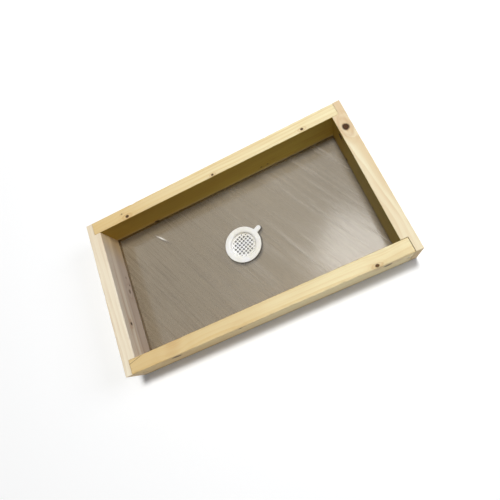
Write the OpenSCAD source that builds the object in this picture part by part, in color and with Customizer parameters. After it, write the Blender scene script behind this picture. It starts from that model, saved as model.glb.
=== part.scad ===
// Hive top feeder: a rebated pine rim round a clear base sheet, with a perforated feed disc
// that drops into a round port in the middle of the sheet and lifts out by its tab.
// X runs along the rim, Y from the front to the back, Z up from the face that sits on the hive.

/* [Rim] */
// Outside length of the rim, along X
rim_length = 500; // [380:1:620]
// Outside width of the rim, along Y
rim_width = 282; // [200:1:520]
// Height of the boards
rim_height = 66; // [54:1:140]
// Thickness of the two long side boards
side_thickness = 24; // [18:0.5:32]
// Thickness of the two end boards
end_thickness = 24; // [20:0.5:32]
// Thickness of the tongue that is left outside the end board's rebate
tongue_thickness = 12; // [8:0.5:14]
// Rounding of the boards' long edges
arris_radius = 1.2; // [0.4:0.1:3]
// Glue line in the corner joints
glue_gap = 0.1; // [0.05:0.05:0.5]

/* [Base sheet] */
// Thickness of the clear sheet
sheet_thickness = 3; // [2:0.5:6]
// Clear height under the sheet, for the bees to walk in
bee_space = 6; // [5:0.5:12]
// Depth of the groove that holds the sheet's edge
groove_depth = 7; // [4:0.5:9]
// Room at the bottom of the groove, so that the sheet can grow with heat
growth_gap = 1; // [0.5:0.1:2]
// Room above the sheet in its groove
sheet_gap = 0.3; // [0.1:0.05:0.8]

/* [Feed disc] */
// Diameter of the flange that lies on the sheet
flange_diameter = 66; // [56:1:90]
// Thickness of the flange
flange_thickness = 2.2; // [1.6:0.1:4]
// Rounding of the flange's outer edge
flange_rounding = 1.2; // [0.4:0.1:1.5]
// Diameter of the dished centre
recess_diameter = 44.5; // [30:0.5:50]
// Depth of the dished centre, from the top of the flange
recess_depth = 5; // [3:0.1:7]
// Rounding of the dished centre's mouth
mouth_rounding = 0.6; // [0.2:0.1:1.2]
// Wall round the dished centre
cup_wall = 1.6; // [1:0.1:2.5]
// Floor of the dished centre
cup_floor = 1.6; // [1:0.1:2.5]
// Chamfer that leads the cup into its port
lead_in = 0.5; // [0.2:0.1:0.9]
// Gap all round between the cup and its port in the sheet
port_gap = 0.4; // [0.2:0.05:1]
// Diameter of the feed holes
hole_diameter = 3.2; // [1.6:0.1:3.6]
// Diameter of the smaller holes that are moulded close to the wall
edge_hole_diameter = 1.6; // [1:0.1:2.4]
// Distance between neighbouring holes
hole_pitch = 5.35; // [4.5:0.05:8]
// Holes with a centre nearer to the wall than this are the smaller ones
edge_zone = 3.5; // [2:0.1:5]
// Solid web kept between a hole and the wall
hole_web = 0.5; // [0.2:0.1:1.5]
// Width of the lift tab
tab_width = 9; // [6:0.5:14]
// Reach of the lift tab past the flange
tab_reach = 11.5; // [8:0.5:20]
// Thickness of the lift tab, level with the top of the flange
tab_thickness = 1.4; // [1:0.1:1.6]
// Direction that the tab points in, from X towards Y
tab_angle = 25; // [0:0.5:360]

/* [Screws] */
// Length of a corner screw
screw_length = 45; // [38:1:60]
// Diameter of the shank
screw_diameter = 4; // [3.5:0.1:5]
// Diameter of the countersunk head
head_diameter = 8; // [7:0.1:10]
// Straight edge of the head, above its cone
head_land = 0.4; // [0.2:0.1:0.8]
// Depth of the head under the face of the board
head_sink = 0.5; // [0.2:0.1:1]
// Length of the point
point_length = 6; // [4:0.5:9]
// Gap round the screw in its hole
screw_gap = 0.15; // [0.1:0.05:0.3]
// Width of a wing of the cross recess
drive_width = 1; // [0.8:0.1:1.4]
// Span of the cross recess
drive_span = 4.4; // [3.5:0.1:5.5]
// Depth of the cross recess
drive_depth = 1.8; // [1:0.1:2.2]

/* [Hidden] */
$fn = 64;

// Straight steps in a quarter circle of an edge rounding
rounding_steps = 4;
// How far a cut runs past the face that it leaves by
overrun = 1;
// Screw heights, as shares of the wall above the groove
upper_screw_share = 0.76;
lower_screw_share = 0.14;
side_screw_share = 0.45;
// Where the screw stands in the wood that it is driven into
screw_centre_share = 0.5;

long_pine = [0.93, 0.86, 0.64];
end_pine = [0.93, 0.88, 0.75];
clear_tint = [0.62, 0.58, 0.52, 0.5];
white_plastic = [0.95, 0.94, 0.91];
zinc = [0.75, 0.74, 0.70];

inner_length = rim_length - 2 * end_thickness;
inner_width = rim_width - 2 * side_thickness;
side_length = rim_length - 2 * (tongue_thickness + glue_gap);
shoulder_y = inner_width / 2 - glue_gap;
tongue_x = rim_length / 2 - tongue_thickness;

sheet_top = bee_space + sheet_thickness;
groove_top = sheet_top + sheet_gap;
sheet_hold = groove_depth - growth_gap;
wall_height = rim_height - groove_top;

flange_radius = flange_diameter / 2;
recess_radius = recess_diameter / 2;
cup_radius = recess_radius + cup_wall;
port_radius = cup_radius + port_gap;
floor_top = flange_thickness - recess_depth;
floor_bottom = floor_top - cup_floor;
hole_reach = recess_radius - edge_hole_diameter / 2 - hole_web;
hole_steps = floor(hole_reach / hole_pitch);

shank_radius = screw_diameter / 2;
head_radius = head_diameter / 2;
cone_end = head_land + head_radius - shank_radius;
upper_height = groove_top + upper_screw_share * wall_height;
lower_height = groove_top + lower_screw_share * wall_height;
side_height = groove_top + side_screw_share * wall_height;
end_screw_y = rim_width / 2 - screw_centre_share * side_thickness;
side_screw_x = inner_length / 2 + screw_centre_share * (end_thickness - tongue_thickness);

// Points of a quarter circle, anticlockwise from the start angle
function quarter(centre, radius, start) = [
    for (k = [0 : rounding_steps])
        let (turn = start + 90 * k / rounding_steps)
        centre + radius * [cos(turn), sin(turn)]
];

// Section of a board: u from the inner face outwards, v up, with the sheet's groove in the inner face
module board_section(thickness) {
    out = thickness - arris_radius;
    up = rim_height - arris_radius;
    polygon(concat(
        quarter([out, arris_radius], arris_radius, 270),
        quarter([out, up], arris_radius, 0),
        quarter([arris_radius, up], arris_radius, 90),
        [[0, groove_top], [groove_depth, groove_top], [groove_depth, bee_space], [0, bee_space]],
        quarter([arris_radius, arris_radius], arris_radius, 180)
    ));
}

// A planed and grooved length of board along X, with its inner face on the plane Y = 0
module board_blank(length, thickness) {
    rotate([90, 0, 90])
        linear_extrude(height = length, center = true)
            board_section(thickness);
}

// A screw that points down Z, with the top of its head on the plane Z = 0
module wood_screw() {
    color(zinc)
        difference() {
            rotate_extrude()
                polygon([
                    [0, 0],
                    [0, -screw_length],
                    [shank_radius, point_length - screw_length],
                    [shank_radius, -cone_end],
                    [head_radius, -head_land],
                    [head_radius, 0]
                ]);
            for (turn = [0, 90])
                rotate([0, 0, turn])
                    translate([-drive_span / 2, -drive_width / 2, -drive_depth])
                        cube([drive_span, drive_width, drive_depth + overrun]);
        }
}

// The countersunk hole that the screw goes in, a screw gap larger all round
module screw_hole() {
    rotate_extrude()
        polygon([
            [0, head_sink + overrun],
            [0, -screw_length - screw_gap],
            [shank_radius + screw_gap, point_length - screw_length],
            [shank_radius + screw_gap, -cone_end],
            [head_radius + screw_gap, -head_land],
            [head_radius + screw_gap, head_sink + overrun]
        ]);
}

// Stands a screw or its hole in a tongue: along X, on the left (-1) or right (1), at the front (-1) or back (1)
module in_tongue(side_x, side_y, height) {
    translate([side_x * (rim_length / 2 - head_sink), side_y * end_screw_y, height])
        rotate([0, side_x * 90, 0])
            children();
}

// Stands a screw or its hole in a side board, along Y, at one of the four corners
module in_side(side_x, side_y) {
    translate([side_x * side_screw_x, side_y * (rim_width / 2 - head_sink), side_height])
        rotate([-side_y * 90, 0, 0])
            children();
}

// The three screw holes of one corner
module corner_holes(side_x, side_y) {
    in_tongue(side_x, side_y, upper_height) screw_hole();
    in_tongue(side_x, side_y, lower_height) screw_hole();
    in_side(side_x, side_y) screw_hole();
}

// A long board, where the back one stands
module side_board() {
    color(long_pine)
        difference() {
            translate([0, inner_width / 2, 0])
                board_blank(side_length, side_thickness);
            for (side_x = [-1, 1])
                corner_holes(side_x, 1);
        }
}

// An end board, where the right one stands, with a rebate at each end for the long boards
module end_board() {
    rebate_start = inner_length / 2 - overrun;
    rebate_width = rim_width / 2 - shoulder_y + overrun;
    color(end_pine)
        difference() {
            translate([inner_length / 2, 0, 0])
                rotate([0, 0, -90])
                    board_blank(rim_width, end_thickness);
            for (side_y = [-1, 1]) {
                translate([rebate_start, side_y * (shoulder_y + rebate_width / 2) - rebate_width / 2, -overrun])
                    cube([tongue_x - rebate_start, rebate_width, rim_height + 2 * overrun]);
                corner_holes(1, side_y);
            }
        }
}

module front_board() {
    rotate([0, 0, 180])
        side_board();
}

module back_board() {
    side_board();
}

module left_end_board() {
    rotate([0, 0, 180])
        end_board();
}

module right_end_board() {
    end_board();
}

// The clear sheet, held by its edges in the boards' grooves, with the round port for the disc
module base_sheet() {
    color(clear_tint)
        translate([0, 0, bee_space])
            difference() {
                translate([-inner_length / 2 - sheet_hold, -inner_width / 2 - sheet_hold, 0])
                    cube([inner_length + 2 * sheet_hold, inner_width + 2 * sheet_hold, sheet_thickness]);
                translate([0, 0, -overrun])
                    cylinder(r = port_radius, h = sheet_thickness + 2 * overrun);
            }
}

// Half section of the disc: r from its axis, z up from the sheet's top face
module disc_section() {
    polygon(concat(
        [[0, floor_top], [0, floor_bottom], [cup_radius - lead_in, floor_bottom]],
        [[cup_radius, floor_bottom + lead_in], [cup_radius, 0], [flange_radius, 0]],
        quarter([flange_radius - flange_rounding, flange_thickness - flange_rounding], flange_rounding, 0),
        quarter([recess_radius + mouth_rounding, flange_thickness - mouth_rounding], mouth_rounding, 90),
        [[recess_radius, floor_top]]
    ));
}

// The lift tab along X: level with the flange on top, clear of the sheet below for a fingernail
module lift_tab() {
    tab_end = flange_radius + tab_reach - tab_width / 2;
    translate([0, 0, flange_thickness - tab_thickness]) {
        translate([cup_radius, -tab_width / 2, 0])
            cube([tab_end - cup_radius, tab_width, tab_thickness]);
        translate([tab_end, 0, 0])
            cylinder(d = tab_width, h = tab_thickness);
    }
}

// A square lattice of holes, in line with the tab, as far out as the web to the wall allows
module feed_holes() {
    for (i = [-hole_steps : hole_steps], j = [-hole_steps : hole_steps]) {
        away = hole_pitch * norm([i, j]);
        bore = recess_radius - away < edge_zone ? edge_hole_diameter : hole_diameter;
        if (away <= hole_reach)
            translate([i * hole_pitch, j * hole_pitch, floor_bottom - overrun])
                cylinder(d = bore, h = cup_floor + 2 * overrun);
    }
}

module feed_disc() {
    color(white_plastic)
        translate([0, 0, sheet_top])
            rotate([0, 0, tab_angle])
                difference() {
                    union() {
                        rotate_extrude() disc_section();
                        lift_tab();
                    }
                    feed_holes();
                }
}

front_board();
back_board();
left_end_board();
right_end_board();
base_sheet();
feed_disc();
in_tongue(-1, -1, upper_height) wood_screw();  // front_left_upper_screw
in_tongue(-1, -1, lower_height) wood_screw();  // front_left_lower_screw
in_side(-1, -1) wood_screw();  // front_left_side_screw
in_tongue(1, -1, upper_height) wood_screw();  // front_right_upper_screw
in_tongue(1, -1, lower_height) wood_screw();  // front_right_lower_screw
in_side(1, -1) wood_screw();  // front_right_side_screw
in_tongue(-1, 1, upper_height) wood_screw();  // back_left_upper_screw
in_tongue(-1, 1, lower_height) wood_screw();  // back_left_lower_screw
in_side(-1, 1) wood_screw();  // back_left_side_screw
in_tongue(1, 1, upper_height) wood_screw();  // back_right_upper_screw
in_tongue(1, 1, lower_height) wood_screw();  // back_right_lower_screw
in_side(1, 1) wood_screw();  // back_right_side_screw
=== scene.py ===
# %% [markdown]
# # A hive top feeder in pine, clear sheet and white plastic
# A top feeder is a shallow rim that stands on a beehive, under its roof. Four pine boards carry a clear
# plastic sheet in a groove, and a perforated disc in the middle of the sheet lets the bees reach the feed.
# The construction is fixed before this lesson starts: the packed model gives every piece its size and
# place, and this file only gives it a finer surface and a finish. So loading it comes first, and its box is
# kept and its size printed.

# %% Load the construction
import math

import bmesh
import bpy
import numpy as np
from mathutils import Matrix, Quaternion, Vector
from mathutils.geometry import delaunay_2d_cdt


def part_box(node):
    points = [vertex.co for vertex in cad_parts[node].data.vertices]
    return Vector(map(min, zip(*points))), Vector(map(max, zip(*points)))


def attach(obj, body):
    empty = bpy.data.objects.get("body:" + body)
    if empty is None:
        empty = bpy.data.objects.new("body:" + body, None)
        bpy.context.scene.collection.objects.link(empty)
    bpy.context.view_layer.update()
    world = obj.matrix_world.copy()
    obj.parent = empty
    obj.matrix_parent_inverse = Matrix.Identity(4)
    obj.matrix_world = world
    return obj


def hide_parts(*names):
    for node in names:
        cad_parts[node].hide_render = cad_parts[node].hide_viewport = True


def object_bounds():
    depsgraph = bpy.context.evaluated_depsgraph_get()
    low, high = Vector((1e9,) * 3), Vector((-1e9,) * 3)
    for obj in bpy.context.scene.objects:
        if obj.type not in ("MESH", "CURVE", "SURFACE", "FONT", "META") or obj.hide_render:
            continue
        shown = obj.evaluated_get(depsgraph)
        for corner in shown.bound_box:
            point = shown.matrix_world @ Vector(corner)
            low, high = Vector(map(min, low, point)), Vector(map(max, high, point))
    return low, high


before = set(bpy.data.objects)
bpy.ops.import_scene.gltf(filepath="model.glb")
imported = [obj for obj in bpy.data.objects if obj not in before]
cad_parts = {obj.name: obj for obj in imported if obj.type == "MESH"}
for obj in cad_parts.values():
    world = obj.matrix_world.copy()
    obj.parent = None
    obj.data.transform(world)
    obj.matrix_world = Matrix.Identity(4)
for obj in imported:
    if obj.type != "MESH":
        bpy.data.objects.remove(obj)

MM = 0.001
scene = bpy.context.scene


def node_box(name):
    """The lowest and the highest corner of a packed node, in mm."""
    return [np.array(corner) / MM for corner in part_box(name)]


cad_box = [list(corner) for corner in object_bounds()]
rim_low, rim_high = (np.array(corner) / MM for corner in cad_box)
print("construction:", len(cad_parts), "nodes, size in mm", np.round(rim_high - rim_low, 1))

# %% [markdown]
# ## Camera
# The photograph was taken by hand from above, with the phone turned, so the rim lies slanted in the frame.
# A camera could be given by three angles, but a place, a point to look at and a roll about the line of sight
# are easier to picture: the phone hangs some 64 cm over the floor, a little in front of it, and looks at a
# point just beside the disc. The focal length in pixels over the picture's width gives the lens.

# %% Camera
camera_place = Vector((92.8, -222.1, 635.2)) * MM
camera_aim = Vector((6.0, -11.3, 0.0)) * MM
camera_roll = math.radians(-46.0)
focal_px = 377
picture_px = 500
sensor_mm = 36
nearest_seen = 0.01

camera = bpy.data.objects.new("camera", bpy.data.cameras.new("camera"))
camera.data.sensor_width = sensor_mm
camera.data.lens = sensor_mm * focal_px / picture_px
camera.data.clip_start = nearest_seen
camera.location = camera_place
camera.rotation_mode = "QUATERNION"
level_view = (camera_aim - camera_place).to_track_quat("-Z", "Y")
camera.rotation_quaternion = level_view @ Quaternion((0, 0, 1), camera_roll)
scene.collection.objects.link(camera)
scene.camera = camera
print("camera: lens", round(camera.data.lens, 1), "mm, roll", round(math.degrees(camera_roll), 1))

# %% [markdown]
# ## A wrapper for shader maths
# Every finish below is a formula over the surface, such as a distance to a knot or the phase of a year ring.
# Written as nodes by hand, a formula is a long list of links that nobody can read back. The class below
# wraps one socket, and its operators add Math nodes, so the formula can be written as Python. Every other
# kind of node comes from one method that takes the node's type, its settings and its inputs.

# %% Shader wrapper
class Wire:
    """One output socket of a node tree. Arithmetic on it adds Math nodes."""

    def __init__(self, tree, socket=None):
        self.tree = tree
        self.socket = socket

    def node(self, kind, settings=None, inputs=None, result=0):
        """Adds a node: first its settings, then a value or link for each input. Gives the named outputs."""
        made = self.tree.nodes.new(kind)
        for key, value in (settings or {}).items():
            setattr(made, key, value)
        for key, value in (inputs or {}).items():
            if isinstance(value, Wire):
                self.tree.links.new(value.socket, made.inputs[key])
            else:
                made.inputs[key].default_value = value
        if isinstance(result, tuple):
            return [Wire(self.tree, made.outputs[key]) for key in result]
        return Wire(self.tree, made.outputs[result])

    def math(self, operation, *values):
        return self.node("ShaderNodeMath", {"operation": operation}, dict(enumerate(values)))

    def __add__(self, other):
        return self.math("ADD", self, other)

    def __sub__(self, other):
        return self.math("SUBTRACT", self, other)

    def __rsub__(self, other):
        return self.math("SUBTRACT", other, self)

    def __mul__(self, other):
        return self.math("MULTIPLY", self, other)

    def __truediv__(self, other):
        return self.math("DIVIDE", self, other)

    def __pow__(self, other):
        return self.math("POWER", self, other)

    __radd__ = __add__
    __rmul__ = __mul__


print("wrapper ready:", Wire.__doc__)


# %% Nodes and curves that the finishes share
def vector(wire, operation, *values, result="Vector"):
    """A Vector Math node. It gives a vector, or the Value where the operation measures a number."""
    return wire.node("ShaderNodeVectorMath", {"operation": operation}, dict(enumerate(values)), result)


def axes(wire, place):
    """The three coordinates of a place."""
    return wire.node("ShaderNodeSeparateXYZ", None, {0: place}, ("X", "Y", "Z"))


def turned(wire, place, angle):
    """A place seen from axes that are turned about Z by an angle."""
    return wire.node("ShaderNodeMapping", None, {"Vector": place, "Rotation": (0.0, 0.0, -angle)})


def hypot(first, second):
    """The distance that two values at right angles make: the root of the sum of their squares."""
    return (first * first + second * second) ** 0.5


def ease(wire, low, high):
    """0 below low, 1 above high and a smooth step between them; the other way round if low is the larger."""
    span = {"Value": wire, "From Min": low, "From Max": high}
    return wire.node("ShaderNodeMapRange", {"interpolation_type": "SMOOTHSTEP"}, span)


def bell(wire, width):
    """1 where the value is 0, falling off to both sides as exp of minus its square over width squared."""
    near = wire / width
    return near.math("EXPONENT", near * near * -1.0)


def mix(wire, factor, first, second, blend="MIX"):
    """Two colours, from the first at factor 0 to the second at factor 1."""
    settings = {"data_type": "RGBA", "blend_type": blend}
    return wire.node("ShaderNodeMix", settings, {0: factor, 6: first, 7: second}, 2)


def grain_noise(wire, place, stretch, detail=2.0, roughness=0.5):
    """Noise from 0 to 1 at a place in mm. stretch gives its frequency per mm along each axis."""
    scaled = vector(wire, "MULTIPLY", place, stretch)
    return wire.node("ShaderNodeTexNoise", None, {
        "Vector": scaled, "Scale": 1.0, "Detail": detail, "Roughness": roughness})


def bumps(wire, strength, depth, height):
    """A normal that follows a height from 0 to 1, with its full depth in mm."""
    return wire.node("ShaderNodeBump", None, {
        "Strength": strength, "Distance": depth * MM, "Height": height})


def srgb(red, green, blue):
    """A colour read from a picture, 0 to 255 a channel, as the linear colour that a shader takes."""
    shares = np.array([red, green, blue]) / 255
    return (*np.where(shares > 0.04045, ((shares + 0.055) / 1.055) ** 2.4, shares / 12.92), 1.0)


def new_material(name):
    """An empty material, and a wire to build on."""
    material = bpy.data.materials.new(name)
    material.use_nodes = True
    material.node_tree.nodes.clear()
    return material, Wire(material.node_tree)


def finish_surface(wire, shader):
    """Links a shader to the material's output."""
    wire.node("ShaderNodeOutputMaterial", None, {"Surface": shader}, ())


def dress(piece, material):
    """Makes a material the only one of a piece."""
    piece.data.materials.clear()
    piece.data.materials.append(material)


def object_place(wire, turn=0.0):
    """Object coordinates in mm, turned about Z so that the long axis of a piece can lie along X."""
    spot = wire.node("ShaderNodeTexCoord", None, None, "Object")
    return wire.node("ShaderNodeMapping", None, {
        "Vector": spot, "Rotation": (0.0, 0.0, -turn), "Scale": (1 / MM, 1 / MM, 1 / MM)})


print("middle grey as a linear colour:", np.round(srgb(128, 128, 128)[:3], 3))

# %% [markdown]
# ## Stage and light
# The picture shows the feeder on white, lit from high above and a little from behind its right end: the back
# and the right end are dark inside, with a narrow shadow at their feet, and a faint sheen of the light lies
# on the sheet in the front right corner. A lamp that gives such narrow shadows would burn a white patch into
# the sheet, so the key lamp is hidden from mirrors, and a weak panel beside it gives the sheen. A lower lamp
# to the right, a little cool like a window, lights the inside of the left end, and an even pale world gives
# the rest. Together they light a level surface at about the strength at which a colour renders as it is
# written. The floor is matt white. A glow that only the camera, mirrors and glass see is faint near the rim,
# where the floor takes the shadow, and grows further out, where the lamps give less, so that the floor and
# the world meet without a line.

# %% Stage and light
floor_reach = 4.0
floor_drop = 0.2 * MM
floor_white = srgb(253, 253, 252)
near_glow, far_glow = 0.06, 1.0
near_reach, far_reach = 0.6 / MM, 2.4 / MM
world_share = 0.06
window_cool = (0.94, 0.98, 1.10)
tray_centre = (0.0, 0.0, 0.0)
pure_white = (1.0, 1.0, 1.0, 1.0)
# Each lamp's place and size in metres, and its share of the light on a level surface
lamps = {
    "key": ((0.50, 1.00, 5.20), 0.90, 0.76),
    "sheen_panel": ((0.47, 0.40, 2.40), 0.55, 0.070),
    "side_fill": ((2.2, 0.0, 1.5), 1.2, 0.145),
}


def seen_directly(wire):
    """1 where the camera, a mirror or glass looks at the stage, 0 for the light that reaches a surface."""
    kinds = ("Is Camera Ray", "Is Glossy Ray", "Is Transmission Ray")
    from_camera, from_mirror, from_glass = wire.node("ShaderNodeLightPath", None, None, kinds)
    return wire.math("MAXIMUM", from_camera, wire.math("MAXIMUM", from_mirror, from_glass))


def area_light(name, place, aim, size, level_share):
    """A square lamp. level_share is how much of full daylight it gives a level surface at the aim point."""
    lamp = bpy.data.objects.new(name, bpy.data.lights.new(name, "AREA"))
    offset = Vector(place) - Vector(aim)
    slant = offset.z / offset.length
    lamp.data.size = size
    lamp.data.energy = level_share * math.pi ** 2 * offset.length_squared / slant
    lamp.location = place
    lamp.rotation_euler = offset.to_track_quat("Z", "Y").to_euler()
    scene.collection.objects.link(lamp)
    return lamp


corners = np.array([[-1, -1], [1, -1], [1, 1], [-1, 1]]) * floor_reach
floor_mesh = bpy.data.meshes.new("floor")
floor_mesh.from_pydata([(x, y, -floor_drop) for x, y in corners], [], [(0, 1, 2, 3)])
floor = bpy.data.objects.new("floor", floor_mesh)
scene.collection.objects.link(floor)
floor_paint, wire = new_material("floor_white")
matt = wire.node("ShaderNodeBsdfDiffuse", None, {"Color": floor_white})
from_middle = vector(wire, "LENGTH", object_place(wire), result="Value")
glow_share = ease(from_middle, near_reach, far_reach) * (far_glow - near_glow) + near_glow
glow = wire.node("ShaderNodeEmission", None, {"Strength": seen_directly(wire) * glow_share})
finish_surface(wire, wire.node("ShaderNodeAddShader", None, {0: matt, 1: glow}))
dress(floor, floor_paint)

lit = {name: area_light(name, place, tray_centre, size, level_share)
       for name, (place, size, level_share) in lamps.items()}
lit["key"].visible_glossy = False
lit["side_fill"].data.color = window_cool

world = bpy.data.worlds.new("studio")
world.use_nodes = True
world.node_tree.nodes.clear()
wire = Wire(world.node_tree)
strength = seen_directly(wire) * (1 - world_share) + world_share
sky = wire.node("ShaderNodeBackground", None, {"Color": pure_white, "Strength": strength})
wire.node("ShaderNodeOutputWorld", None, {"Surface": sky}, ())
scene.world = world
scene.view_settings.view_transform = "Standard"
print("stage: floor,", ", ".join(lamps), "and a world of", world_share)

# %% [markdown]
# ## Surfaces from arrays
# A piece of joinery is a section carried along a line, and a turned or moulded piece is a section carried
# round an axis. Both are the same grid of points, so one helper turns a grid into faces, with its last
# column joined to its first. Seams and doubles are merged afterwards, and the faces are turned outwards.

# %% Grid helper
fine_merge = 1e-7


def grid_faces(rows, columns):
    """Quads of a grid of points, row by row. The last column joins the first."""
    row = np.arange(rows - 1)[:, None] * columns
    column = np.arange(columns)[None, :]
    here = row + column
    beside = row + (column + 1) % columns
    return np.stack([here, beside, beside + columns, here + columns], -1).reshape(-1, 4)


def end_caps(rows, columns):
    """The two faces that close the first and the last row of a grid."""
    last = (rows - 1) * columns
    return [list(range(columns))[::-1], list(range(last, last + columns))]


def at_height(plan, height):
    """Points of a plan, with a height as their third coordinate."""
    return np.concatenate([plan, np.full((*plan.shape[:-1], 1), height)], -1)


def close_up(mesh, merge_within=fine_merge):
    """Merges doubles, takes out slivers, fills what is still open and turns the faces outwards."""
    work = bmesh.new()
    work.from_mesh(mesh)
    bmesh.ops.remove_doubles(work, verts=work.verts, dist=merge_within)
    bmesh.ops.dissolve_degenerate(work, edges=work.edges, dist=merge_within)
    bmesh.ops.holes_fill(work, edges=[edge for edge in work.edges if edge.is_boundary])
    bmesh.ops.recalc_face_normals(work, faces=work.faces)
    work.to_mesh(mesh)
    work.free()


def mesh_piece(name, points, faces):
    """A closed mesh object from points in mm: doubles are merged and the faces turned outwards."""
    mesh = bpy.data.meshes.new(name)
    mesh.from_pydata((np.asarray(points) * MM).tolist(), [], [list(face) for face in faces])
    close_up(mesh)
    piece = bpy.data.objects.new(name, mesh)
    scene.collection.objects.link(piece)
    return piece


def open_edges(piece):
    """How many edges of a piece don't have exactly two faces: 0 means a closed mesh."""
    count = np.zeros(len(piece.data.edges), int)
    loop_edges = np.empty(len(piece.data.loops), int)
    piece.data.loops.foreach_get("edge_index", loop_edges)
    np.add.at(count, loop_edges, 1)
    return int((count != 2).sum())


def on_circle(centre, radius, turn):
    """Points of a circle: the centre, plus the radius times the cosine and the sine of each angle."""
    return np.stack([centre[0] + radius * np.cos(turn), centre[1] + radius * np.sin(turn)], -1)


print("grid helper ready")

# %% [markdown]
# ## The four boards
# Each board is planed to a section with eased edges and a groove for the sheet, and cut to length. The end
# boards then get a rebate at both ends, and all four are drilled and countersunk. The same order is followed
# here: the section runs along the board as a grid, and the rebates and the screw holes are cut afterwards
# with Boolean modifiers, as the saw and the drill would. Handling has knocked the edges, so each of a
# board's four edges is pressed in by a tenth of a millimetre or so along its length, and here and there by
# more. A vertex attribute marks the edges, so that the finish can follow the same wear.

# %% Board sizes and section
sheet_low, sheet_high = node_box("base_sheet")
back_low, back_high = node_box("back_board")
right_low, right_high = node_box("right_end_board")
board_height = rim_high[2]
side_thickness = back_high[1] - back_low[1]
end_thickness = right_high[0] - right_low[0]
tongue = right_high[0] - back_high[0]
groove_depth = 7.0
groove_room = 0.3
edge_radius = 1.1
edge_steps = 5
edge_clear = 2.5
least_near = 0.6
wear_depth, wear_gain, wear_window = 0.12, 3, 11
knock_count, knock_width, knock_press = 5, (1.5, 5.0), (0.15, 0.7)
end_rounding, end_steps = 0.7, 5
ring_step = 2.0


def board_section(thickness):
    """The outline of a board and how near each point is to an edge: u outwards, v up, anticlockwise.

    A rectangle with a quarter circle of radius r at each corner and a notch, the groove, in its inner side.
    """
    r, clear = edge_radius, edge_radius + edge_clear
    groove_top, groove_foot = sheet_high[2] + groove_room, sheet_low[2]
    groove = [(0, groove_top), (groove_depth, groove_top), (groove_depth, groove_foot), (0, groove_foot)]
    round_near = least_near + (1 - least_near) * np.sin(np.linspace(0, np.pi, edge_steps + 1))
    sides = [
        ([(clear, 0), (thickness - clear, 0)], (thickness - r, r), 270),
        ([(thickness, clear), (thickness, board_height - clear)], (thickness - r, board_height - r), 0),
        ([(thickness - clear, board_height), (clear, board_height)], (r, board_height - r), 90),
        ([(0, board_height - clear), *groove, (0, clear)], (r, r), 180),
    ]
    outline, nearness, edge = [], [], []
    for number, (flat, centre, start) in enumerate(sides):
        turn = np.radians(start + np.linspace(0, 90, edge_steps + 1))
        outline += [np.array(flat, float), on_circle(centre, r, turn)]
        nearness += [np.zeros(len(flat)), round_near]
        edge += [np.full(len(flat), -1), np.full(edge_steps + 1, number)]
    return np.concatenate(outline), np.concatenate(nearness), np.concatenate(edge)


def edge_wear(places, seed):
    """How far an edge is pressed in along a board: a smooth random line, and a few short knocks.

    The line is white noise averaged over a window. A knock is a bell curve of its own width and depth.
    """
    draw = np.random.default_rng(seed)
    noise = draw.normal(size=len(places) + wear_window - 1)
    rough = np.convolve(noise, np.full(wear_window, 1 / wear_window), "valid")
    wear = wear_depth * np.abs(rough) * wear_gain
    middle = draw.uniform(places[0], places[-1], knock_count)[:, None]
    width = draw.uniform(*knock_width, knock_count)[:, None]
    press = draw.uniform(*knock_press, knock_count)[:, None]
    return wear + (press * np.exp(-((places - middle) / width) ** 2)).sum(0)


print("board height", board_height, "thickness", side_thickness, end_thickness, "tongue", round(tongue, 2))

# %% Board blanks
up = np.array([0.0, 0.0, 1.0])
inward = np.sqrt(0.5) * np.array([[-1, 1], [-1, -1], [1, -1], [1, 1]])


def board_blank(name, outward, inner_distance, thickness, length, seed, shift):
    """A grooved board: its section carried along its length, with rounded ends and worn edges.

    A point is the board's middle, plus s and a shift along the board, u outwards and v up. Near an end, the
    section is clipped to a box that shrinks along a quarter circle, which rounds the end's edges.
    """
    section, nearness, edge = board_section(thickness)
    quarter = np.linspace(0, np.pi / 2, end_steps)
    half = length / 2
    ramp = half - end_rounding * (1 - np.sin(quarter))
    inset_ramp = end_rounding * (1 - np.cos(quarter))
    middle = np.linspace(-ramp[0], ramp[0], int(2 * ramp[0] / ring_step))[1:-1]
    s = np.concatenate([-ramp[::-1], middle, ramp])
    inset = np.concatenate([inset_ramp[::-1], 0 * middle, inset_ramp])[:, None]
    u = np.repeat(section[None, :, 0], len(s), 0)
    v = np.repeat(section[None, :, 1], len(s), 0)
    for number, (push_u, push_v) in enumerate(inward):
        worn = edge == number
        press = edge_wear(s, seed + number)[:, None] * nearness[worn]
        u[:, worn] += press * push_u
        v[:, worn] += press * push_v
    u = np.clip(u, inset, thickness - inset)
    v = np.clip(v, inset, board_height - inset)
    along = np.cross(outward, up)
    run = (s + shift)[:, None, None] * along
    points = run + (inner_distance + u)[..., None] * outward + v[..., None] * up
    faces = grid_faces(len(s), len(section)).tolist() + end_caps(len(s), len(section))
    mesh = bpy.data.meshes.new(name)
    mesh.from_pydata((points.reshape(-1, 3) * MM).tolist(), [], faces)
    mark = mesh.attributes.new("edge_wear", "FLOAT", "POINT")
    mark.data.foreach_set("value", np.tile(nearness, len(s)))
    board = bpy.data.objects.new(name, mesh)
    scene.collection.objects.link(board)
    return board


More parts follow.
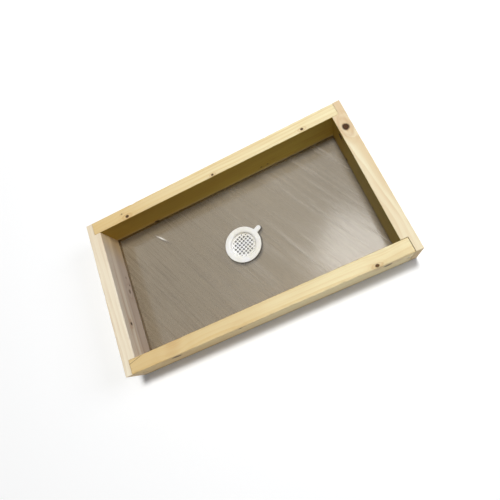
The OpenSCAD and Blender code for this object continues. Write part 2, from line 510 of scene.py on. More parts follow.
joint_line = 0.25
short_end = 0.5
seeds_per_board = 10
side_length = back_high[0] - back_low[0] - 2 * joint_line
outwards = {"back": (0, 1, 0), "front": (0, -1, 0), "right": (1, 0, 0), "left": (-1, 0, 0)}
boards = {}
for number, (side, outward) in enumerate(outwards.items()):
    long_side = side in ("back", "front")
    node = f"{side}_board" if long_side else f"{side}_end_board"
    trim = short_end if side == "front" else 0.0
    boards[node] = board_blank(
        f"{node}_planed", np.array(outward, float),
        back_low[1] if long_side else right_low[0],
        side_thickness if long_side else end_thickness,
        side_length - trim if long_side else rim_high[1] - rim_low[1],
        seeds_per_board * number + 1, trim / 2)
print("blanks:", {name: len(board.data.polygons) for name, board in boards.items()})

# %% [markdown]
# ## Rebates and screw holes
# The rebate leaves a tongue that covers the end of the long board, and the joint shows on the top edge as a
# small step. At the front right corner the shoulder and the front board's end were sawn a little short, and
# a dark gap shows there. A rebate could be modelled into the grid, but the section would then change halfway
# along the board, so it is cut with a box. A screw hole is a countersunk section turned about the screw's
# axis, and the packed screws say where each axis is.

# %% Cutters
cut_past = 2.0
short_shoulder = 0.6
head_land, head_room, cone_depth = 0.4, 0.15, 2.0
drill_depth, drill_steps = 10.0, 48
cut_merge = 1e-6


def cutter_box(low, high):
    """Corner points and faces of a box between two corners, in mm."""
    pick = np.array([[i, j, k] for k in (0, 1) for j in (0, 1) for i in (0, 1)])
    points = np.where(pick == 1, high, low)
    faces = [(0, 2, 3, 1), (4, 5, 7, 6), (0, 1, 5, 4), (2, 6, 7, 3), (0, 4, 6, 2), (1, 3, 7, 5)]
    return points, faces


def cutter_drill(face_point, outward, head_radius, shank_radius, head_sink):
    """A countersunk hole: straight from outside past the head, a cone down to the shank, then the bore.

    Each ring is a circle about the screw's axis, at a radius and a depth below the board's face.
    """
    wide, narrow = head_radius + head_room, shank_radius + head_room
    cone_top = head_sink + head_land
    depth = np.array([-cut_past, cone_top, cone_top + cone_depth, drill_depth])
    radius = np.array([wide, wide, narrow, narrow])
    turn = np.linspace(0, 2 * np.pi, drill_steps, endpoint=False)
    across = np.cross(outward, up)
    ring = np.cos(turn)[:, None] * across + np.sin(turn)[:, None] * up
    points = face_point + radius[:, None, None] * ring - depth[:, None, None] * outward
    faces = grid_faces(len(depth), drill_steps).tolist() + end_caps(len(depth), drill_steps)
    return points.reshape(-1, 3), faces


def cut(board, cutters):
    """Takes each cutter away from a board with a Boolean modifier, and keeps the result as its mesh."""
    for points, faces in cutters:
        tool = mesh_piece("cutter", points, faces)
        board.modifiers.new("triangles", "TRIANGULATE")
        modifier = board.modifiers.new("cut", "BOOLEAN")
        modifier.operation = "DIFFERENCE"
        modifier.solver = "EXACT"
        modifier.object = tool
        depsgraph = bpy.context.evaluated_depsgraph_get()
        result = bpy.data.meshes.new_from_object(board.evaluated_get(depsgraph))
        board.modifiers.clear()
        old, board.data = board.data, result
        bpy.data.meshes.remove(old)
        bpy.data.objects.remove(tool)
    close_up(board.data, cut_merge)


print("drill:", drill_depth, "mm deep, countersunk", cone_depth, "mm")

# %% Cut the rebates and drill the holes
cuts = {name: [] for name in boards}
tongue_line = rim_high[0] - tongue
for name, side in (("left_end_board", -1), ("right_end_board", 1)):
    for front_back in (-1, 1):
        short = short_shoulder if (side, front_back) == (1, -1) else 0.0
        x = side * np.array([right_low[0] - cut_past, tongue_line])
        y = front_back * np.array([back_low[1] - short, rim_high[1] + cut_past])
        low = np.array([x.min(), y.min(), rim_low[2] - cut_past])
        high = np.array([x.max(), y.max(), rim_high[2] + cut_past])
        cuts[name].append(cutter_box(low, high))

screw_nodes = [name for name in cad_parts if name.endswith("_screw")]
for name in screw_nodes:
    low, high = node_box(name)
    middle = (low + high) / 2
    axis = int(np.argmax(high - low))
    outward = np.sign(middle[axis]) * np.eye(3)[axis]
    head_radius = np.delete(high - low, axis).max() / 2
    face_point = middle.copy()
    face_point[axis] = outward[axis] * rim_high[axis]
    head_sink = rim_high[axis] - max(abs(low[axis]), abs(high[axis]))
    front_back, left_right, kind = name.split("_")[:3]
    drilled = f"{front_back}_board" if kind == "side" else f"{left_right}_end_board"
    shank_radius = head_radius - cone_depth
    cuts[drilled].append(cutter_drill(face_point, outward, head_radius, shank_radius, head_sink))

for name, board in boards.items():
    cut(board, cuts[name])
    board.data.update()
    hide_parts(name)
    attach(board, "rim")
    "long_pine" if name in ("front_board", "back_board") else "end_pine"
    print(name, len(cuts[name]), "cuts,", len(board.data.polygons), "faces, open edges", open_edges(board))

# %% [markdown]
# ## The base sheet
# The sheet is a flat slab with one round port. A cube with a hole cut in it would give long thin triangles
# that spoil the reflections, so the slab is a ring instead: each point of the port's circle is joined by a
# straight row of points to a point of the rectangle round it. The rings run out over the top, down the outer
# edge, back along the underside and up the wall of the port.

# %% Base sheet
port_radius = 24.25
points_per_side = 36
rows_out = 14

share = np.linspace(-1, 1, points_per_side, endpoint=False)
one = np.ones(points_per_side)
square = np.concatenate([np.stack(side, -1) for side in (
    (share, -one), (one, share), (-share, one), (-one, -share))])
rectangle = square * sheet_high[:2]
direction = rectangle / np.hypot(*rectangle.T)[:, None]
out = np.linspace(0, 1, rows_out)[:, None, None]
flat = (1 - out) * port_radius * direction + out * rectangle
upper = at_height(flat, sheet_high[2])
lower = at_height(flat[::-1], sheet_low[2])
sheet_rings = np.concatenate([upper, lower, upper[:1]])
sheet_faces = grid_faces(len(sheet_rings), len(rectangle))
sheet = mesh_piece("base_sheet_clear", sheet_rings.reshape(-1, 3), sheet_faces)
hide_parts("base_sheet")
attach(sheet, "rim")
print("sheet:", len(sheet.data.polygons), "faces, open edges", open_edges(sheet))

# %% [markdown]
# ## The feed disc
# The disc is one injection moulding: a flange that lies on the sheet, a dished centre with a soft mouth that
# drops into the port, a floor full of small holes, and a tab to lift it by. Turned about its axis it would
# have no tab, so the section is carried round the plan outline instead: a circle that runs out along the tab
# and back, with a small fillet at each root. Inside the flange, the same directions lie on true circles, and
# so does the foot, which stands back under the flange's edge and leaves a thin dark line on the sheet. The
# holed floor can't be such a grid. It is filled between the circle round it and the circle of every hole,
# and each hole gets a wall of its own with rounded lips.

# %% Outline of the disc
flange_radius, flange_thickness = 33.0, 2.2
flange_rounding, floor_fillet = 0.9, 1.8
mouth_reach, mouth_drop = 4.0, 3.0
recess_radius, cup_wall, cup_floor, lead_in = 22.25, 1.6, 1.6, 0.5
recess_depth = 5.0
foot_inset, foot_rounding = 1.4, 0.3
tab_width, tab_reach, tab_lift, root_fillet = 9.0, 11.5, 0.8, 1.6
tab_angle = math.radians(25.0)
hole_radius, edge_hole_radius, hole_pitch, hole_lip = 1.6, 0.8, 5.35, 0.2
least_web = 0.5
hole_field = recess_radius - edge_hole_radius - least_web
small_hole_zone = 3.5
side_steps, root_steps, tip_steps, round_steps = 8, 6, 20, 168


def swing(centre, radius, start, stop, steps):
    """Points of an arc about a centre, from a start to a stop angle in radians, without the last one."""
    return on_circle(centre, radius, np.linspace(start, stop, steps, endpoint=False))


def disc_outline():
    """Plan of the flange and tab, anticlockwise, with the tab along X.

    A fillet touches the circle and the tab's side, so its centre lies a fillet radius from both.
    """
    half = tab_width / 2
    tip = flange_radius + tab_reach - half
    root_y = half + root_fillet
    root_x = math.sqrt((flange_radius + root_fillet) ** 2 - root_y ** 2)
    meet = math.atan2(root_y, root_x)
    side = np.linspace(0, 1, side_steps, endpoint=False)[:, None]
    right_side = (1 - side) * np.array([root_x, -half]) + side * np.array([tip, -half])
    left_side = (1 - side) * np.array([tip, half]) + side * np.array([root_x, half])
    return np.concatenate([
        swing((root_x, -root_y), root_fillet, math.pi - meet, math.pi / 2, root_steps),
        right_side,
        swing((tip, 0), half, -math.pi / 2, math.pi / 2, tip_steps),
        left_side,
        swing((root_x, root_y), root_fillet, -math.pi / 2, meet - math.pi, root_steps),
        swing((0, 0), flange_radius, meet, 2 * math.pi - meet, round_steps)])


outline = disc_outline()
tangent = np.roll(outline, -1, 0) - np.roll(outline, 1, 0)
normal = np.stack([tangent[:, 1], -tangent[:, 0]], -1) / np.hypot(*tangent.T)[:, None]
reach = np.hypot(*outline.T)
ray = outline / reach[:, None]
print("disc outline:", len(outline), "points, reach", round(reach.max(), 1))

# %% Rings of the disc
floor_top = flange_thickness - recess_depth
floor_bottom = floor_top - cup_floor
cup_radius = recess_radius + cup_wall
floor_radius = recess_radius - floor_fillet
foot_radius = flange_radius - foot_inset
lip_steps = 6


def circle_ring(radius, height):
    """The outline's directions on a true circle, at a height above the sheet."""
    return at_height(ray * radius, height)


def outline_ring(inset, height):
    """The plan outline moved inwards, at a height above the sheet."""
    return at_height(outline - inset * normal, height)


quarter = np.linspace(0, np.pi / 2, lip_steps)
rise, fall = np.sin(quarter), np.cos(quarter)
disc_rings = np.stack([
    *map(circle_ring, floor_radius + floor_fillet * rise, floor_top + floor_fillet * (1 - fall)),
    *map(circle_ring, recess_radius + mouth_reach * (1 - fall), flange_thickness - mouth_drop * (1 - rise)),
    circle_ring((recess_radius + flange_radius) / 2, flange_thickness),
    *map(outline_ring, flange_rounding * (1 - rise), flange_thickness - flange_rounding * (1 - fall)),
    outline_ring(0.0, tab_lift + foot_rounding),
    outline_ring(foot_rounding, tab_lift),
    circle_ring(foot_radius, tab_lift),
    circle_ring(foot_radius, 0.0),
    circle_ring(cup_radius, 0.0),
    circle_ring(cup_radius, floor_bottom + lead_in),
    circle_ring(cup_radius - lead_in, floor_bottom),
    circle_ring(floor_radius, floor_bottom),
])
print("disc rings:", len(disc_rings), "from the floor's top over the flange to its underside")

# %% Floor and holes of the disc
lattice_reach, hole_steps = 4, 24
fill_inside, fill_merge = 1, 1e-6
lip_share = 0.98

steps = np.arange(-lattice_reach, lattice_reach + 1)
lattice = np.stack(np.meshgrid(steps, steps), -1).reshape(-1, 2) * hole_pitch
away = np.hypot(*lattice.T)
kept = away < hole_field
hole_centres, away = lattice[kept], away[kept]
hole_radii = np.where(recess_radius - away < small_hole_zone, edge_hole_radius, hole_radius)
hole_circle = swing((0, 0), 1.0, 0, 2 * np.pi, hole_steps)


def holed_floor(height):
    """Triangles that fill the floor's circle apart from its holes, at one height.

    Each border joins a point to the one that follows it, and a loop's last point to its first. Triangles
    whose centre lies inside a hole's circle are left out.
    """
    loops = [disc_rings[0, :, :2]]
    loops += [c + (r + hole_lip) * hole_circle for c, r in zip(hole_centres, hole_radii)]
    sizes = np.array([len(loop) for loop in loops])
    stops = np.cumsum(sizes)
    following = np.arange(1, stops[-1] + 1)
    following[stops - 1] = stops - sizes
    borders = np.stack([np.arange(stops[-1]), following], -1).tolist()
    plan_points = [Vector(p) for p in np.concatenate(loops)]
    found = delaunay_2d_cdt(plan_points, borders, [], fill_inside, fill_merge)
    filled = np.array([p[:] for p in found[0]])
    triangles = np.array(found[2])
    centre = filled[triangles].mean(1)
    gap = np.hypot(*(centre[:, None] - hole_centres[None]).transpose(2, 0, 1))
    chord_share = math.cos(math.pi / hole_steps)
    solid = (gap > (hole_radii + hole_lip * lip_share) * chord_share).all(1)
    return at_height(filled, height), triangles[solid]


def hole_walls():
    """All holes at once: a straight wall with a quarter-round lip at both ends, turned about each axis."""
    lip = hole_lip * (1 - rise)
    drop = hole_lip * (1 - fall)
    swell = np.concatenate([lip, lip[::-1]])
    height = np.concatenate([floor_top - drop, floor_bottom + drop[::-1]])
    radius = hole_radii[:, None] + swell
    plan = hole_centres[:, None, None] + radius[..., None, None] * hole_circle
    points = at_height(plan, height[:, None, None]).reshape(-1, 3)
    one_hole = grid_faces(len(height), hole_steps)
    shift = np.arange(len(hole_centres))[:, None, None] * len(height) * hole_steps
    return points, (one_hole + shift).reshape(-1, 4)


print("disc floor:", len(hole_centres), "holes,", int((hole_radii < hole_radius).sum()), "of them small")

# %% Feed disc
sharp_angle = math.radians(35)

parts = [(disc_rings.reshape(-1, 3), grid_faces(len(disc_rings), len(outline)))]
parts += [holed_floor(floor_top), holed_floor(floor_bottom), hole_walls()]
shift = np.cumsum([0] + [len(points) for points, faces in parts])
points = np.concatenate([points for points, faces in parts])
tab_turn = np.array([[math.cos(tab_angle), math.sin(tab_angle)],
                     [-math.sin(tab_angle), math.cos(tab_angle)]])
points = np.concatenate([points[:, :2] @ tab_turn, points[:, 2:] + sheet_high[2]], -1)
faces = [face for (_, some), start in zip(parts, shift) for face in (some + start).tolist()]
disc = mesh_piece("feed_disc_moulded", points, faces)
disc.data.shade_smooth()
disc.data.set_sharp_from_angle(angle=sharp_angle)
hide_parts("feed_disc")
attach(disc, "feed_disc")
print("disc:", len(disc.data.polygons), "faces, open edges", open_edges(disc))

# %% [markdown]
# ## Pine
# Pine is drawn as the tree grew it: year rings about the pith, a line that runs along the board, somewhere
# outside it. A point's distance to the pith, over the ring spacing, gives the ring and the phase in it.
# Early wood is pale and wide, late wood darker, narrow and sharp on its outer side. Because the formula is
# solid, the rings line up round every edge and close to arcs on the end grain with no further work. Noise
# drawn out along the grain makes the rings wander and gives the fibres. A knot is a branch: a line through
# the board, with dark bark round it and a lens of swirled grain, that pushes the rings aside. The inner
# faces carry painted shade: one of two darker colours multiplies the wood there, the lighter one in a stripe
# along each face. Towards the back corners the end boards get a yellower painted shade inside.

# %% Year rings
ring_wander, ring_flutter = 11.0, 0.9


def late_wood_share(wire, place, across, height, pith, ring_gap, wander, flutter, bulge):
    """How far a place lies in late wood, 0 to 1: a saw-tooth over the distance to the pith, ring by ring.

    The distance wanders with the noise and bulges round the knots. Each ring has a strength of its own, and
    patches of noise let the rings fade.
    """
    from_pith = hypot(across - pith[0], height - pith[1])
    from_pith = from_pith + wander * ring_wander + flutter * ring_flutter + bulge
    growth = wire.node("ShaderNodeTexNoise", {"noise_dimensions": "1D"}, {
        "W": from_pith * 0.11, "Scale": 1.0})
    rings = from_pith / ring_gap + growth * 2.5
    phase = rings.math("FRACT", rings)
    ring_number = rings.math("FLOOR", rings)
    ring_tone = wire.node("ShaderNodeTexWhiteNoise", {"noise_dimensions": "1D"}, {"W": ring_number}, "Value")
    fade = grain_noise(wire, place, (0.010, 0.05, 0.05), 2.0)
    late_wood = ease(phase, 0.20, 0.90) * ease(phase, 1.0, 0.92) * (ring_tone * 0.6 + 0.4)
    return late_wood * (ease(fade, 0.30, 0.65) * 0.65 + 0.35)


print("year rings wander by up to", ring_wander / 2, "mm")

# %% Knots and cracks
knot_brown = srgb(80, 52, 28)
knot_bark = srgb(46, 27, 15)
knot_halo = srgb(184, 130, 70)
branch_share, lens_share = 0.85, 0.45
swirl_turns, knot_turns = 4.4, 11.0
crack_width, crack_wander = 0.35, 2.0


def knot_distance(wire, place, at, lean, grain_share):
    """Distance in mm from a place to a branch: the line through a point along a lean.

    Lengths along the grain count by a share, so the outline round the branch is drawn out to a lens.
    """
    scale = np.array([grain_share, 1.0, 1.0])
    unit = np.array(lean) * scale
    unit = tuple(unit / np.linalg.norm(unit))
    away = vector(wire, "MULTIPLY", vector(wire, "SUBTRACT", place, at), tuple(scale))
    along = vector(wire, "DOT_PRODUCT", away, unit, result="Value")
    foot = wire.node("ShaderNodeVectorMath", {"operation": "SCALE"}, {0: unit, "Scale": along})
    return vector(wire, "LENGTH", vector(wire, "SUBTRACT", away, foot), result="Value")


def find_branches(wire, place, flutter, knots):
    """Each knot's distances to its branch and its lens, and how far all knots push the rings aside."""
    branches = []
    bulge = 0.0
    for at, lean, radius, dark in knots:
        branch = knot_distance(wire, place, at, lean, branch_share) + flutter * radius * 0.9
        lens = knot_distance(wire, place, at, lean, lens_share) + flutter * radius * 1.2
        branches.append((branch, lens, radius, dark))
        bulge = bell(lens, radius * 1.9) * radius * 1.6 + bulge
    return branches, bulge


def draw_knots(wire, colour, branches):
    """A colour with each knot's halo, core and bark laid over it, and the relief that the knots add."""
    figure = 0.0
    for branch, lens, radius, dark in branches:
        core = ease(branch, radius * 1.02, radius * 0.86)
        bark = bell(branch - radius, radius * 0.20 + 0.25)
        halo = bell(lens, radius * 1.9) * 0.45
        swirl = wire.math("SINE", lens * (swirl_turns / radius)) * bell(lens, radius * 2.2) * 0.25
        knot_ring = wire.math("SINE", branch * (knot_turns / radius)) * 0.5 + 0.5
        colour = mix(wire, (halo + swirl) * dark, colour, knot_halo)
        colour = mix(wire, core * dark, colour, mix(wire, knot_ring * 0.5, knot_brown, knot_bark))
        colour = mix(wire, bark * dark * 0.85, colour, knot_bark)
        figure = core * 0.6 - bark * 0.5 + figure
    return colour, figure


def draw_cracks(wire, colour, figure, along, across, flutter, cracks):
    """A colour and a relief with each crack drawn in: a thin dark line that wanders and runs out."""
    for start, stop, across_start, across_stop in cracks:
        share = (along - start) / (stop - start)
        line = across - (share * (across_stop - across_start) + across_start) + flutter * crack_wander
        split = bell(line, crack_width) * ease(share, 1.0, 0.6) * ease(share, -0.05, 0.05)
        colour = mix(wire, split * 0.85, colour, knot_bark)
        figure = figure - split * 2.0
    return colour, figure


print("knots: the lens round a branch is drawn out", round(1 / lens_share, 1), "times along the grain")

# %% Pine finish
worn_brown = srgb(150, 118, 74)
end_brown = srgb(198, 160, 104)
face_skin = (0.6, 0.2)
stripe_wander, stripe_flutter = 9.0, 3.0
grain_strength, grain_depth = 0.35, 0.25


def painted_face_shade(wire, along, height, level, inner, corner):
    """Painted shade that multiplies an inner face: darker, lighter in a stripe, warmer towards a corner."""
    _, face_shade, pale_face_shade, stripe_low, stripe_high, blur = inner
    stripe = ease(level, stripe_low - blur, stripe_low + blur)
    stripe = stripe * ease(level, stripe_high + blur, stripe_high - blur)
    colour = mix(wire, stripe, (*face_shade, 1.0), (*pale_face_shade, 1.0))
    if corner:
        # Painted shade: warmer towards the back end of the board, drawing back with height.
        corner_shade, warm_start, warm_full, warm_lean = corner
        corner_shade_share = ease(along - height * warm_lean, warm_start, warm_full)
        colour = mix(wire, corner_shade_share, colour, (*corner_shade, 1.0), "MULTIPLY")
    return colour


def pine(name, turn, pith, ring_gap, early, late, tone, inner, knots, cracks=(), corner=None):
    """Solid pine, in mm along, across and up.

    pith is the place of the rings' centre across and up. tone is a colour that the wood takes on along the
    board, where it starts and where it is full. inner is the inner face's place across, a painted shade that
    multiplies its colour, a lighter painted shade for a stripe along it, the stripe's lower and upper border
    and how soft they are. A knot is its point, lean, radius and darkness. A crack is where it starts and
    stops along the board, and its place across at both. corner is a colour of painted shade that multiplies
    the face's shade towards one end of the board, where it starts and is full at the bottom, and how far it
    draws back per mm of height.
    """
    material, wire = new_material(name)
    place = object_place(wire, turn)
    along, across, height = axes(wire, place)
    wander = grain_noise(wire, place, (0.004, 0.013, 0.013)) - 0.5
    flutter = grain_noise(wire, place, (0.018, 0.10, 0.10)) - 0.5
    fibre = grain_noise(wire, place, (0.030, 1.3, 1.3), 4.0, 0.65)
    streak = grain_noise(wire, place, (0.006, 0.20, 0.20), 3.0, 0.6)
    patch = grain_noise(wire, place, (0.006, 0.03, 0.03), 2.0)
    branches, bulge = find_branches(wire, place, flutter, knots)
    late_wood = late_wood_share(wire, place, across, height, pith, ring_gap, wander, flutter, bulge)

    inside = ease(wire.math("ABSOLUTE", across - inner[0]), *face_skin)
    colour = mix(wire, late_wood * (inside * 0.25 + 0.75), early, late)
    colour = mix(wire, ease(patch, 0.40, 0.68) * 0.35, colour, tone[0])
    colour = mix(wire, ease(along, tone[1], tone[2]) * 0.75, colour, tone[0])
    colour = mix(wire, ease(fibre, 0.42, 0.72) * 0.16, colour, late)
    colour = mix(wire, ease(streak, 0.52, 0.75) * 0.30, colour, late)
    colour, figure = draw_knots(wire, colour, branches)
    colour, figure = draw_cracks(wire, colour, figure, along, across, flutter, cracks)

    normal = wire.node("ShaderNodeNewGeometry", None, None, "Normal")
    grain_axis = (math.cos(turn), math.sin(turn), 0.0)
    facing = vector(wire, "DOT_PRODUCT", normal, grain_axis, result="Value")
    end_grain = ease(facing * facing, 0.4, 0.85)
    colour = mix(wire, end_grain * 0.55, colour, end_brown)

    edge = wire.node("ShaderNodeAttribute", {"attribute_name": "edge_wear"}, None, "Fac")
    scuff = grain_noise(wire, place, (0.05, 0.4, 0.4), 3.0, 0.6)
    worn = edge * ease(scuff, 0.45, 0.75)
    colour = mix(wire, worn * 0.35, colour, worn_brown)
    level = height + wander * stripe_wander + flutter * stripe_flutter
    # Painted shade: the inner face is darkened, less in a stripe, and warmer towards a back corner.
    face_shade = painted_face_shade(wire, along, height, level, inner, corner)
    colour = mix(wire, inside, colour, face_shade, "MULTIPLY")

    relief = late_wood * 0.35 - fibre * 0.55 + figure - worn * 0.3
    finish_surface(wire, wire.node("ShaderNodeBsdfPrincipled", None, {
        "Base Color": colour, "Specular IOR Level": 0.3,
        "Roughness": 0.62 + fibre * 0.16 - late_wood * 0.10 + end_grain * 0.12,
        "Normal": bumps(wire, grain_strength, grain_depth, relief)}))
    print(name, len(material.node_tree.nodes), "nodes,", len(knots), "knots")
    return material


print("pine: the grain stands up by", grain_depth, "mm at most")

# %% Pine of each board
quarter_turn = math.pi / 2
top_edge, front_face = board_height, rim_low[1]
side_face, end_face = back_low[1], right_low[0]
# inner holds each board's painted shade for its inner face, and corner a warmer painted shade towards the
# back.
finishes = {
    "back_board": pine(
        "pine_back", 0.0, (190.0, -25.0), 3.1, srgb(244, 232, 190), srgb(222, 190, 124),
        tone=(srgb(218, 186, 128), 180.0, -260.0),
        inner=(side_face, (0.69, 0.59, 0.17), (0.92, 0.88, 0.70), 0.0, 12.0, 6.0),
        knots=[((-167.5, 121.9, top_edge), (0.2, -0.15, 1.0), 2.6, 0.95),
               ((-176.6, 131.0, top_edge), (0.1, 0.1, 1.0), 1.1, 0.45),
               ((4.2, 120.9, top_edge), (-0.1, -0.2, 1.0), 1.5, 0.95),
               ((173.9, 122.7, top_edge), (0.1, -0.15, 1.0), 1.8, 0.95),
               ((-138.0, side_face, 9.5), (0.1, 1.0, -0.2), 3.2, 0.7),
               ((86.0, side_face, 20.3), (0.1, 1.0, -0.1), 1.3, 0.6),
               ((98.5, side_face, 20.8), (-0.1, 1.0, -0.1), 1.3, 0.6)]),
    "front_board": pine(
        "pine_front", 0.0, (-185.0, -30.0), 3.4, srgb(242, 228, 184), srgb(222, 191, 130),
        tone=(srgb(213, 181, 124), 190.0, -250.0),
        inner=(-side_face, (0.92, 0.82, 0.52), (0.98, 0.95, 0.88), 22.0, 38.0, 6.0),
        knots=[((180.0, -137.4, top_edge), (0.1, -0.15, 1.0), 2.0, 0.95),
               ((-162.0, front_face, 53.0), (0.15, 1.0, 0.1), 6.0, 0.85),
               ((-46.0, front_face, 60.5), (0.1, 1.0, -0.2), 2.4, 0.85),
               ((196.0, front_face, 52.0), (-0.1, 1.0, 0.1), 5.0, 0.85)],
        cracks=[(-238.5, -206.0, -124.4, -115.5)]),
    "left_end_board": pine(
        "pine_left", quarter_turn, (262.0, 16.0), 5.0, srgb(243, 233, 208), srgb(206, 178, 142),
        tone=(srgb(234, 218, 190), -60.0, 150.0),
        inner=(end_face, (0.72, 0.69, 0.755), (1.0, 1.0, 1.08), 36.0, 90.0, 4.0),
        knots=[((-57.6, end_face, 46.3), (0.1, 1.0, 0.1), 2.2, 0.9),
               ((6.5, end_face, 20.5), (0.1, 1.0, 0.1), 3.0, 0.4),
               ((19.9, end_face, 14.7), (0.1, 1.0, 0.1), 1.1, 0.7),
               ((34.6, end_face, 20.0), (0.1, 1.0, 0.1), 1.0, 0.5)],
        corner=((0.98, 0.86, 0.55), 30.0, 100.0, 0.65)),
    "right_end_board": pine(
        "pine_right", quarter_turn, (-215.0, -70.0), 3.0, srgb(240, 229, 196), srgb(214, 184, 136),
        tone=(srgb(222, 194, 156), 60.0, 150.0),
        inner=(-end_face, (0.51, 0.47, 0.20), (0.85, 0.83, 0.75), -4.0, 8.0, 4.0),
        knots=[((90.2, -238.2, top_edge), (0.12, 0.05, 1.0), 4.8, 1.0),
               ((84.9, -end_face, 53.5), (0.1, 1.0, 0.3), 3.6, 1.0),
               ((61.0, -end_face, 11.0), (0.1, 1.0, 0.1), 2.4, 1.0)],
        corner=((1.0, 0.86, 0.36), -20.0, 115.0, 0.0)),
}
for name, finish in finishes.items():
    dress(boards[name], finish)

# %% [markdown]
# ## Clear sheet
# The sheet is glossy clear plastic with a light smoky tint, so the tray looks taupe against a pale ground.
# Real glass shaders bend light, and a lamp's light then only gets through by chance. A thin flat sheet
# hardly bends anything, so it is see-through instead: light passes straight on and takes the tint twice,
# once at each face. On top comes a mirror that grows towards grazing angles, and a thin haze of wiping
# marks, dust along the walls, hairline scratches and a white streak near the back left. The haze also
# carries painted light: it thickens towards the right, and its colour goes from darker at the left to paler
# at the right, as a sheen. A fine dark line of painted shadow lies round the disc, in place of the disc's
# shadow. It follows the disc's outline: a circle joined to the tab's long round-ended shape, so the nearer
# of the two distances gives the line. The outline is shifted a little to the front, where the shadow falls.
# The line is matt, so the mirror stops there.

# %% Wiping marks, dust and scratches on the sheet
wipe_angle = math.radians(-63.0)
dust_reach = 20.0
# A white streak on the sheet near the back left end.
streak_spot, streak_angle = (-141.0, 80.0, sheet_high[2]), math.radians(-48.0)
streak_length, streak_width, streak_wander = 13.0, 1.7, 4.0

clear_sheet, wire = new_material("clear_smoked_sheet")
place = object_place(wire)
x, y, _ = axes(wire, place)
wall_x = right_low[0] - x.math("ABSOLUTE", x)
wall_y = back_low[1] - y.math("ABSOLUTE", y)
wiped = turned(wire, place, wipe_angle)
smear = grain_noise(wire, wiped, (0.004, 0.022, 0.022), 3.0, 0.6)
strands = grain_noise(wire, wiped, (0.007, 0.16, 0.16), 4.0, 0.65)
speck = grain_noise(wire, place, (0.35, 0.35, 0.35), 2.0, 0.6)
dust = ease(wire.math("MINIMUM", wall_x, wall_y), dust_reach, 0.0) * ease(speck, 0.40, 0.75)
streak_along, streak_aside, _ = axes(wire, wire.node("ShaderNodeMapping", {"vector_type": "TEXTURE"}, {
    "Vector": place, "Location": streak_spot, "Rotation": (0.0, 0.0, streak_angle)}))
white_streak = bell(streak_along, streak_length) * bell(streak_aside + (smear - 0.5) * streak_wander, streak_width)
streaks = ease(strands, 0.42, 0.70) * ease(smear, 0.30, 0.62)
scratches = ease(grain_noise(wire, wiped, (0.004, 0.8, 0.8), 2.0), 0.62, 0.74)
print("marks on the sheet:", len(clear_sheet.node_tree.nodes), "nodes")

# %% Painted shadow line round the disc
# Painted shadow: a dark line round the disc's outline, shifted to the front, where the disc's shadow falls.
shadow_line_shift, shadow_line_width = (0.55, -1.0, 0.0), 1.2

shadow_line_place = vector(wire, "SUBTRACT", place, shadow_line_shift)
tab_along, tab_aside, _ = axes(wire, turned(wire, shadow_line_place, tab_angle))
tab_tip = flange_radius + tab_reach - tab_width / 2
past_tip = tab_along - wire.math("MINIMUM", wire.math("MAXIMUM", tab_along, 0.0), tab_tip)
from_tab = hypot(past_tip, tab_aside) - tab_width / 2
from_flange = hypot(tab_along, tab_aside) - flange_radius
painted_shadow = bell(wire.math("MINIMUM", from_tab, from_flange), shadow_line_width)
print("dried line:", shadow_line_width, "mm to each side, shifted by", shadow_line_shift)

# %% Clear sheet finish
sheet_tint = (0.725, 0.689, 0.624, 1.0)
least_mirror, mirror_power = 0.055, 5.0
shadow_line_brown, streak_white = srgb(34, 28, 20), srgb(244, 240, 230)
veil_shaded_left, veil_sheen_right = srgb(132, 118, 98), srgb(200, 192, 178)
veil_start, veil_stop, veil_wander = -170.0, 110.0, 250.0
sheen_haze_start, sheen_haze_stop = 20.0, 230.0

haze = 0.08 + streaks * 0.24 + scratches * 0.16 + dust * 0.12
# Painted sheen: the haze thickens towards the right; the white streak and the painted shadow line add to it.
haze = haze + ease(x, sheen_haze_start, sheen_haze_stop) * 0.10 + white_streak * 0.8 + painted_shadow
# Painted light: the veil goes from darker at the left to paler at the right, as a sheen.
painted_sheen_share = ease(x + (smear - 0.5) * veil_wander, veil_start, veil_stop)
veil_colour = mix(wire, painted_sheen_share, veil_shaded_left, veil_sheen_right)
veil_colour = mix(wire, white_streak, veil_colour, streak_white)
veil_colour = mix(wire, painted_shadow, veil_colour, shadow_line_brown)
facing = wire.node("ShaderNodeLayerWeight", None, {"Blend": 0.5}, "Facing")
# The mirror stops on the painted shadow line.
mirror = (facing ** mirror_power * (1 - least_mirror) + least_mirror) * (1 - painted_shadow)
ripple = grain_noise(wire, place, (0.012, 0.012, 0.012), 2.0)
film = wire.node("ShaderNodeBsdfTransparent", None, {"Color": sheet_tint})
veil = wire.node("ShaderNodeBsdfPrincipled", None, {
    "Base Color": veil_colour, "Roughness": 0.6, "Specular IOR Level": 0.0})
gloss = wire.node("ShaderNodeBsdfGlossy", None, {
    "Color": pure_white, "Roughness": 0.14 + streaks * 0.12, "Normal": bumps(wire, 0.05, 1.0, ripple)})
body = wire.node("ShaderNodeMixShader", None, {0: haze, 1: film, 2: veil})
finish_surface(wire, wire.node("ShaderNodeMixShader", None, {0: mirror, 1: body, 2: gloss}))
dress(sheet, clear_sheet)
print("clear sheet:", len(clear_sheet.node_tree.nodes), "nodes")

# %% [markdown]
# ## White plastic
# The disc is moulded in off-white plastic with a satin skin that lets a little light in. The mould leaves a
# faint orange-peel, the plastic yellows a little unevenly, and dust gathers in the corner of the dished
# centre. All of it is faint: from a step away the disc is simply white, and only its shading tells its form.
# The dark places are painted shade: a dark brown on the lips and walls of the holes, and in patches on the
# underside of the holed floor, stands in for the shade in and under the holes. The holes lie on a square
# lattice, so rounding a place to the lattice gives the nearest hole, and no list of holes is needed. Lattice
# points outside the hole field have no hole.

# %% Painted shade of the holes
shade_none, shade_full = 0.38, 0.12
skin_top, skin_foot = 0.05, 0.30
cup_blend = 0.5
floor_level = sheet_high[2] + floor_top

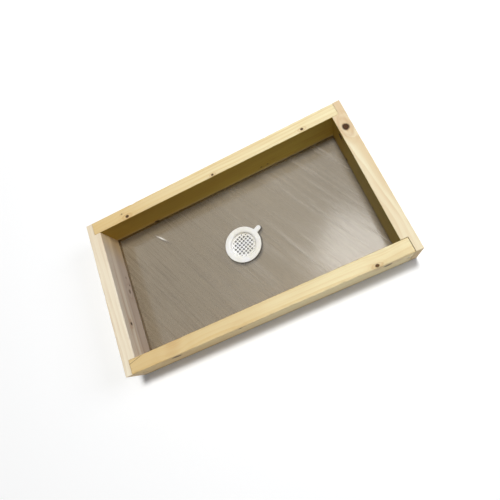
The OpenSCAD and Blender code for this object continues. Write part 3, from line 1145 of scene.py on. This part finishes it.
white_plastic, wire = new_material("white_moulded_plastic")
place = object_place(wire)
x, y, z = axes(wire, place)
from_axis = hypot(x, y)
dust_and_shade_noise = grain_noise(wire, place, (0.5, 0.5, 0.5), 3.0, 0.6)
in_cup = ease(from_axis, floor_radius + cup_blend, floor_radius)
below_floor = ease(z, floor_level - skin_top, floor_level - skin_foot)
in_line = turned(wire, place, tab_angle)
half_pitch = (hole_pitch / 2, hole_pitch / 2, 0.0)
nearest_hole = vector(wire, "SNAP", vector(wire, "ADD", in_line, half_pitch), (hole_pitch, hole_pitch, 1.0))
flat_only = (1.0, 1.0, 0.0)
hole_offset = vector(wire, "MULTIPLY", vector(wire, "SUBTRACT", in_line, nearest_hole), flat_only)
hole_place = vector(wire, "MULTIPLY", nearest_hole, flat_only)
from_hole = vector(wire, "LENGTH", hole_offset, result="Value")
hole_away = vector(wire, "LENGTH", hole_place, result="Value")
small_hole = wire.math("GREATER_THAN", hole_away, recess_radius - small_hole_zone)
past_wall = from_hole - (small_hole * (edge_hole_radius - hole_radius) + hole_radius)
real_hole = wire.math("LESS_THAN", hole_away, hole_field)
# Painted shade: hole lips and walls and the floor's underside are darkened for the shade in and under them.
hole_lip_shade = ease(past_wall, shade_none, shade_full) * real_hole
underside_shade = below_floor * (ease(dust_and_shade_noise, 0.30, 0.60) * 0.25 + 0.65)
painted_hole_shade = in_cup * wire.math("MAXIMUM", hole_lip_shade * 0.9, underside_shade)
print("stains of the holes:", len(white_plastic.node_tree.nodes), "nodes")

# %% White plastic finish
plastic_white, plastic_yellowed = srgb(242, 241, 236), srgb(238, 234, 222)
dust_grey, hole_shade_brown = srgb(190, 180, 160), srgb(44, 38, 30)
dust_gap, dust_width = 0.6, 0.8
scratch_angle = -1.1
light_depth = 3.0 * MM

tone = grain_noise(wire, place, (0.05, 0.05, 0.05), 3.0)
peel = grain_noise(wire, place, (1.1, 1.1, 1.1), 2.0)
scratch = ease(grain_noise(wire, turned(wire, place, scratch_angle), (0.05, 2.4, 2.4), 2.0), 0.62, 0.78)
dusty = bell(from_axis - floor_radius - dust_gap, dust_width) * ease(z, sheet_high[2], floor_level)
colour = mix(wire, ease(tone, 0.35, 0.70), plastic_white, plastic_yellowed)
colour = mix(wire, dusty * ease(dust_and_shade_noise, 0.35, 0.7) * 0.12, colour, dust_grey)
# Painted shade of the holes and the underside, in dark brown.
colour = mix(wire, painted_hole_shade, colour, hole_shade_brown)
finish_surface(wire, wire.node("ShaderNodeBsdfPrincipled", None, {
    "Base Color": colour, "Roughness": 0.36 + peel * 0.10 + scratch * 0.15,
    "Normal": bumps(wire, 0.12, 0.2, peel + scratch * -0.4),
    "Subsurface Weight": 0.6, "Subsurface Radius": (1.0, 1.0, 0.9), "Subsurface Scale": light_depth}))
dress(disc, white_plastic)
print("white plastic:", len(white_plastic.node_tree.nodes), "nodes")

# %% [markdown]
# ## Zinc
# The screws keep their packed shape, because only the heads show. Bright zinc plating is a pale metal with a
# slightly cloudy shine and a warm cast from place to place, and driving it has scuffed it.

# %% Zinc finish
zinc_bright, zinc_warm = srgb(206, 204, 198), srgb(188, 178, 152)

zinc, wire = new_material("zinc_plating")
place = object_place(wire)
cloud = grain_noise(wire, place, (0.35, 0.35, 0.35), 3.0)
brush = grain_noise(wire, place, (1.5, 1.5, 6.0), 2.0)
finish_surface(wire, wire.node("ShaderNodeBsdfPrincipled", None, {
    "Base Color": mix(wire, ease(cloud, 0.35, 0.65), zinc_bright, zinc_warm), "Metallic": 1.0,
    "Roughness": 0.28 + cloud * 0.18 + brush * 0.10, "Normal": bumps(wire, 0.15, 0.1, brush)}))
for name in screw_nodes:
    dress(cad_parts[name], zinc)
print("zinc on", len(screw_nodes), "screws")

# %% [markdown]
# ## Size
# A finer surface must not make the part larger than its construction, because it has to sit between a hive
# and its roof.
